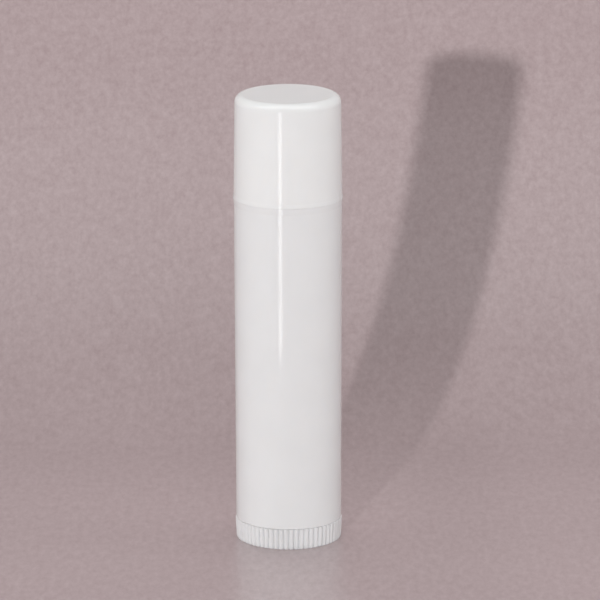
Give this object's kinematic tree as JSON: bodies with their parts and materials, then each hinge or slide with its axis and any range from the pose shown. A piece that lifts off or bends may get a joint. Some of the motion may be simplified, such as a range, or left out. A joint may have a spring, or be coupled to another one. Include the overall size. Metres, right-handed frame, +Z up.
{
  "type": "lip balm stick",
  "caption": "Twist-up lip balm stick: a slim white round tube with a pull-off cap and a ribbed thumb wheel at its foot that winds the balm up on a threaded spindle.",
  "frame": {"origin": "centre of the foot, on the surface that the stick stands on", "axes": "+Z up along the tube towards the cap, +X and +Y square to it; the picture looks along +Y"},
  "size_m": [0.0164, 0.0164, 0.0678],
  "materials": {
    "tube_white": "smooth gloss, slightly translucent white polypropylene",
    "wheel_white": "ribbed, softly glossy white polypropylene",
    "inner_white": "natural moulded polypropylene",
    "balm_wax": "soft ivory wax with a dull sheen"
  },
  "bodies": {
    "barrel": {"barrel": "tube_white"},
    "wheel": {"thumb_wheel": "wheel_white", "lead_screw": "inner_white"},
    "elevator": {"elevator_cup": "inner_white", "balm": "balm_wax"},
    "cap": {"cap": "tube_white"}
  },
  "joints": [
    {"name": "wheel_turn", "type": "hinge", "parent": "barrel", "child": "wheel", "pos_m": [0, 0, 0], "axis": [0, 0, 1], "range_deg": [0, 5040]},
    {"name": "balm_rise", "type": "slide", "parent": "barrel", "child": "elevator", "axis": [0, 0, 1], "range_m": [0, 0.0448]},
    {"name": "cap_pull", "type": "slide", "parent": "elevator", "child": "cap", "axis": [0, 0, 1], "range_m": [0, 0.03]}
  ],
  "couplings": [
    {"joint": "wheel_turn", "follows": "balm_rise", "rad_per_m": 1963.5}
  ]
}
